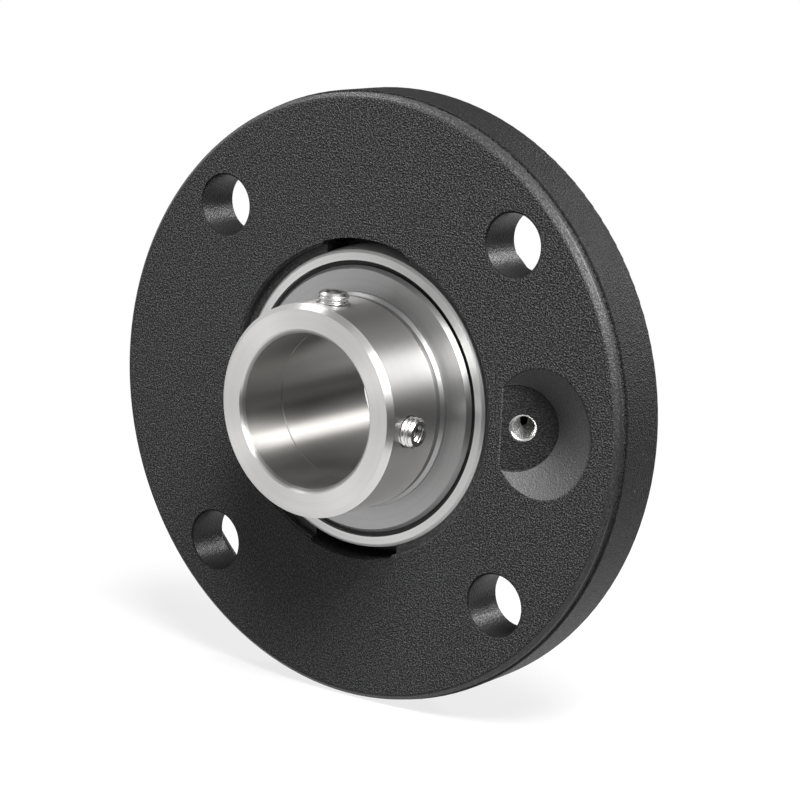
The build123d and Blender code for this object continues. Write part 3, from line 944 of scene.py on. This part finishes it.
def studio_world(settings):
    """White where the camera or a reflection looks, and a plain even light elsewhere."""
    world = bpy.data.worlds.new("studio")
    bpy.context.scene.world = world
    world.use_nodes = True
    tree = world.node_tree
    tree.nodes.clear()
    path = tree.nodes.new("ShaderNodeLightPath").outputs
    mirrored = largest(tree, path["Is Glossy Ray"], path["Is Transmission Ray"])
    seen = largest(tree, path["Is Camera Ray"], product(tree, mirrored, settings.mirrored_white))
    back = tree.nodes.new("ShaderNodeBackground")
    back.inputs["Color"].default_value = (1.0, 1.0, 1.0, 1.0)
    plug(tree, back.inputs["Strength"], spread(tree, seen, 0.0, 1.0, settings.ambient, 1.0))
    output = tree.nodes.new("ShaderNodeOutputWorld")
    tree.links.new(back.outputs[0], output.inputs["Surface"])


def aim(place, target):
    """A placement that looks from a place to a target, with Z up."""
    look = (Vector(target) - Vector(place)).to_track_quat("-Z", "Y")
    return Matrix.Translation(Vector(place)) @ look.to_matrix().to_4x4()


def soft_lamp(name, place, side, power, mirrored=True, matt=True):
    """Add a square soft lamp that looks at the bearing, for mirrored or matt light or both."""
    data = bpy.data.lights.new(name, "AREA")
    data.shape = "SQUARE"
    data.size = side
    data.energy = power
    lamp = bpy.data.objects.new(name, data)
    lamp.matrix_world = aim(place, lamp_target)
    lamp.visible_glossy = mirrored
    lamp.visible_diffuse = matt
    bpy.context.scene.collection.objects.link(lamp)


def studio_card(name, centre, across, up, width, height, brightness):
    """Add a plain card that only reflections see: a dark one is a flag, a bright one a reflector."""
    material, tree, surface = bare_material(name)
    tree.links.new(white_glow(tree, brightness), surface)
    side = Vector(across).normalized() * width / 2
    rise = Vector(up).normalized() * height / 2
    middle = Vector(centre)
    corners = [middle - side - rise, middle + side - rise, middle + side + rise, middle - side + rise]
    card = flat_card(name, corners, material)
    card.visible_camera = False
    card.visible_shadow = False
    card.visible_diffuse = False


def studio_camera(settings):
    """Place the camera at the photograph's viewing angle."""
    view_centre = Vector((0.01398, front_face_y, 0.00218))
    azimuth, elevation = settings.azimuth, settings.elevation
    back = Vector((sin(azimuth) * cos(elevation), -cos(azimuth) * cos(elevation), sin(elevation)))
    right = Vector((cos(azimuth), sin(azimuth), 0))
    up = back.cross(right)
    side = right * cos(settings.roll) + up * sin(settings.roll)
    top = up * cos(settings.roll) - right * sin(settings.roll)
    eye = view_centre + back * settings.distance
    data = bpy.data.cameras.new("studio_camera")
    data.sensor_width = 36.0
    data.lens = settings.focal_length
    data.clip_start = 0.01
    camera = bpy.data.objects.new("studio_camera", data)
    turn = Matrix((side, top, back)).transposed().to_4x4()
    camera.matrix_world = Matrix.Translation(eye) @ turn
    bpy.context.scene.collection.objects.link(camera)
    bpy.context.scene.camera = camera


class BEARING_OT_stage(bpy.types.Operator):
    """Set up the floor, the lamps and the camera"""
    bl_idname = "bearing.stage"
    bl_label = "Stage"

    def execute(self, context):
        settings = context.scene.bearing_stage
        context.scene.view_settings.view_transform = "Standard"
        reach = 6.0
        corners = [(x * reach, y * reach, floor_z) for x, y in ((-1, -1), (1, -1), (1, 1), (-1, 1))]
        flat_card("studio_floor", corners, stage_material(settings))
        studio_world(settings)
        soft_lamp("casting_lamp", (0.40, -0.36, 0.86), 0.50, settings.casting_power, mirrored=False)
        soft_lamp("steel_lamp", (0.74, -0.30, 0.56), 0.50, settings.key_power, matt=False)
        soft_lamp("side_lamp", (0.46, 0.88, 0.50), 0.26, settings.side_power)
        for card in reflection_cards:
            studio_card(*card)
        studio_camera(settings)
        return {"FINISHED"}


class BEARING_PT_panel(bpy.types.Panel):
    """Buttons for the pieces of the bearing unit"""
    bl_idname = "BEARING_PT_panel"
    bl_label = "Flanged Bearing Unit"
    bl_space_type = "VIEW_3D"
    bl_region_type = "UI"
    bl_category = "Bearing"

    def draw(self, context):
        column = self.layout.column()
        for operator in operators:
            column.operator(operator.bl_idname)


settings_groups = {
    "bearing_casting": CastingSettings,
    "bearing_steel": SteelSettings,
    "bearing_screw": ScrewSettings,
    "bearing_nipple_hole": NippleHoleSettings,
    "bearing_stage": StageSettings,
}
operators = (
    BEARING_OT_housing,
    BEARING_OT_rings,
    BEARING_OT_rolling,
    BEARING_OT_seals,
    BEARING_OT_set_screws,
    BEARING_OT_nipple_thread,
    BEARING_OT_stage,
)


def register():
    """Add the settings, the operators and the panel to Blender."""
    for name, group in settings_groups.items():
        bpy.utils.register_class(group)
        setattr(bpy.types.Scene, name, PointerProperty(type=group))
    for item in (*operators, BEARING_PT_panel):
        bpy.utils.register_class(item)


def unregister():
    """Take the panel, the operators and the settings out of Blender."""
    for item in (BEARING_PT_panel, *reversed(operators)):
        bpy.utils.unregister_class(item)
    for name, group in settings_groups.items():
        delattr(bpy.types.Scene, name)
        bpy.utils.unregister_class(group)


def main():
    """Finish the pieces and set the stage."""
    register()
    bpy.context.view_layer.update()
    bpy.ops.bearing.housing()
    bpy.ops.bearing.rings()
    bpy.ops.bearing.rolling()
    bpy.ops.bearing.seals()
    bpy.ops.bearing.set_screws()
    bpy.ops.bearing.nipple_thread()
    bpy.ops.bearing.stage()


if __name__ == "__main__":
    main()
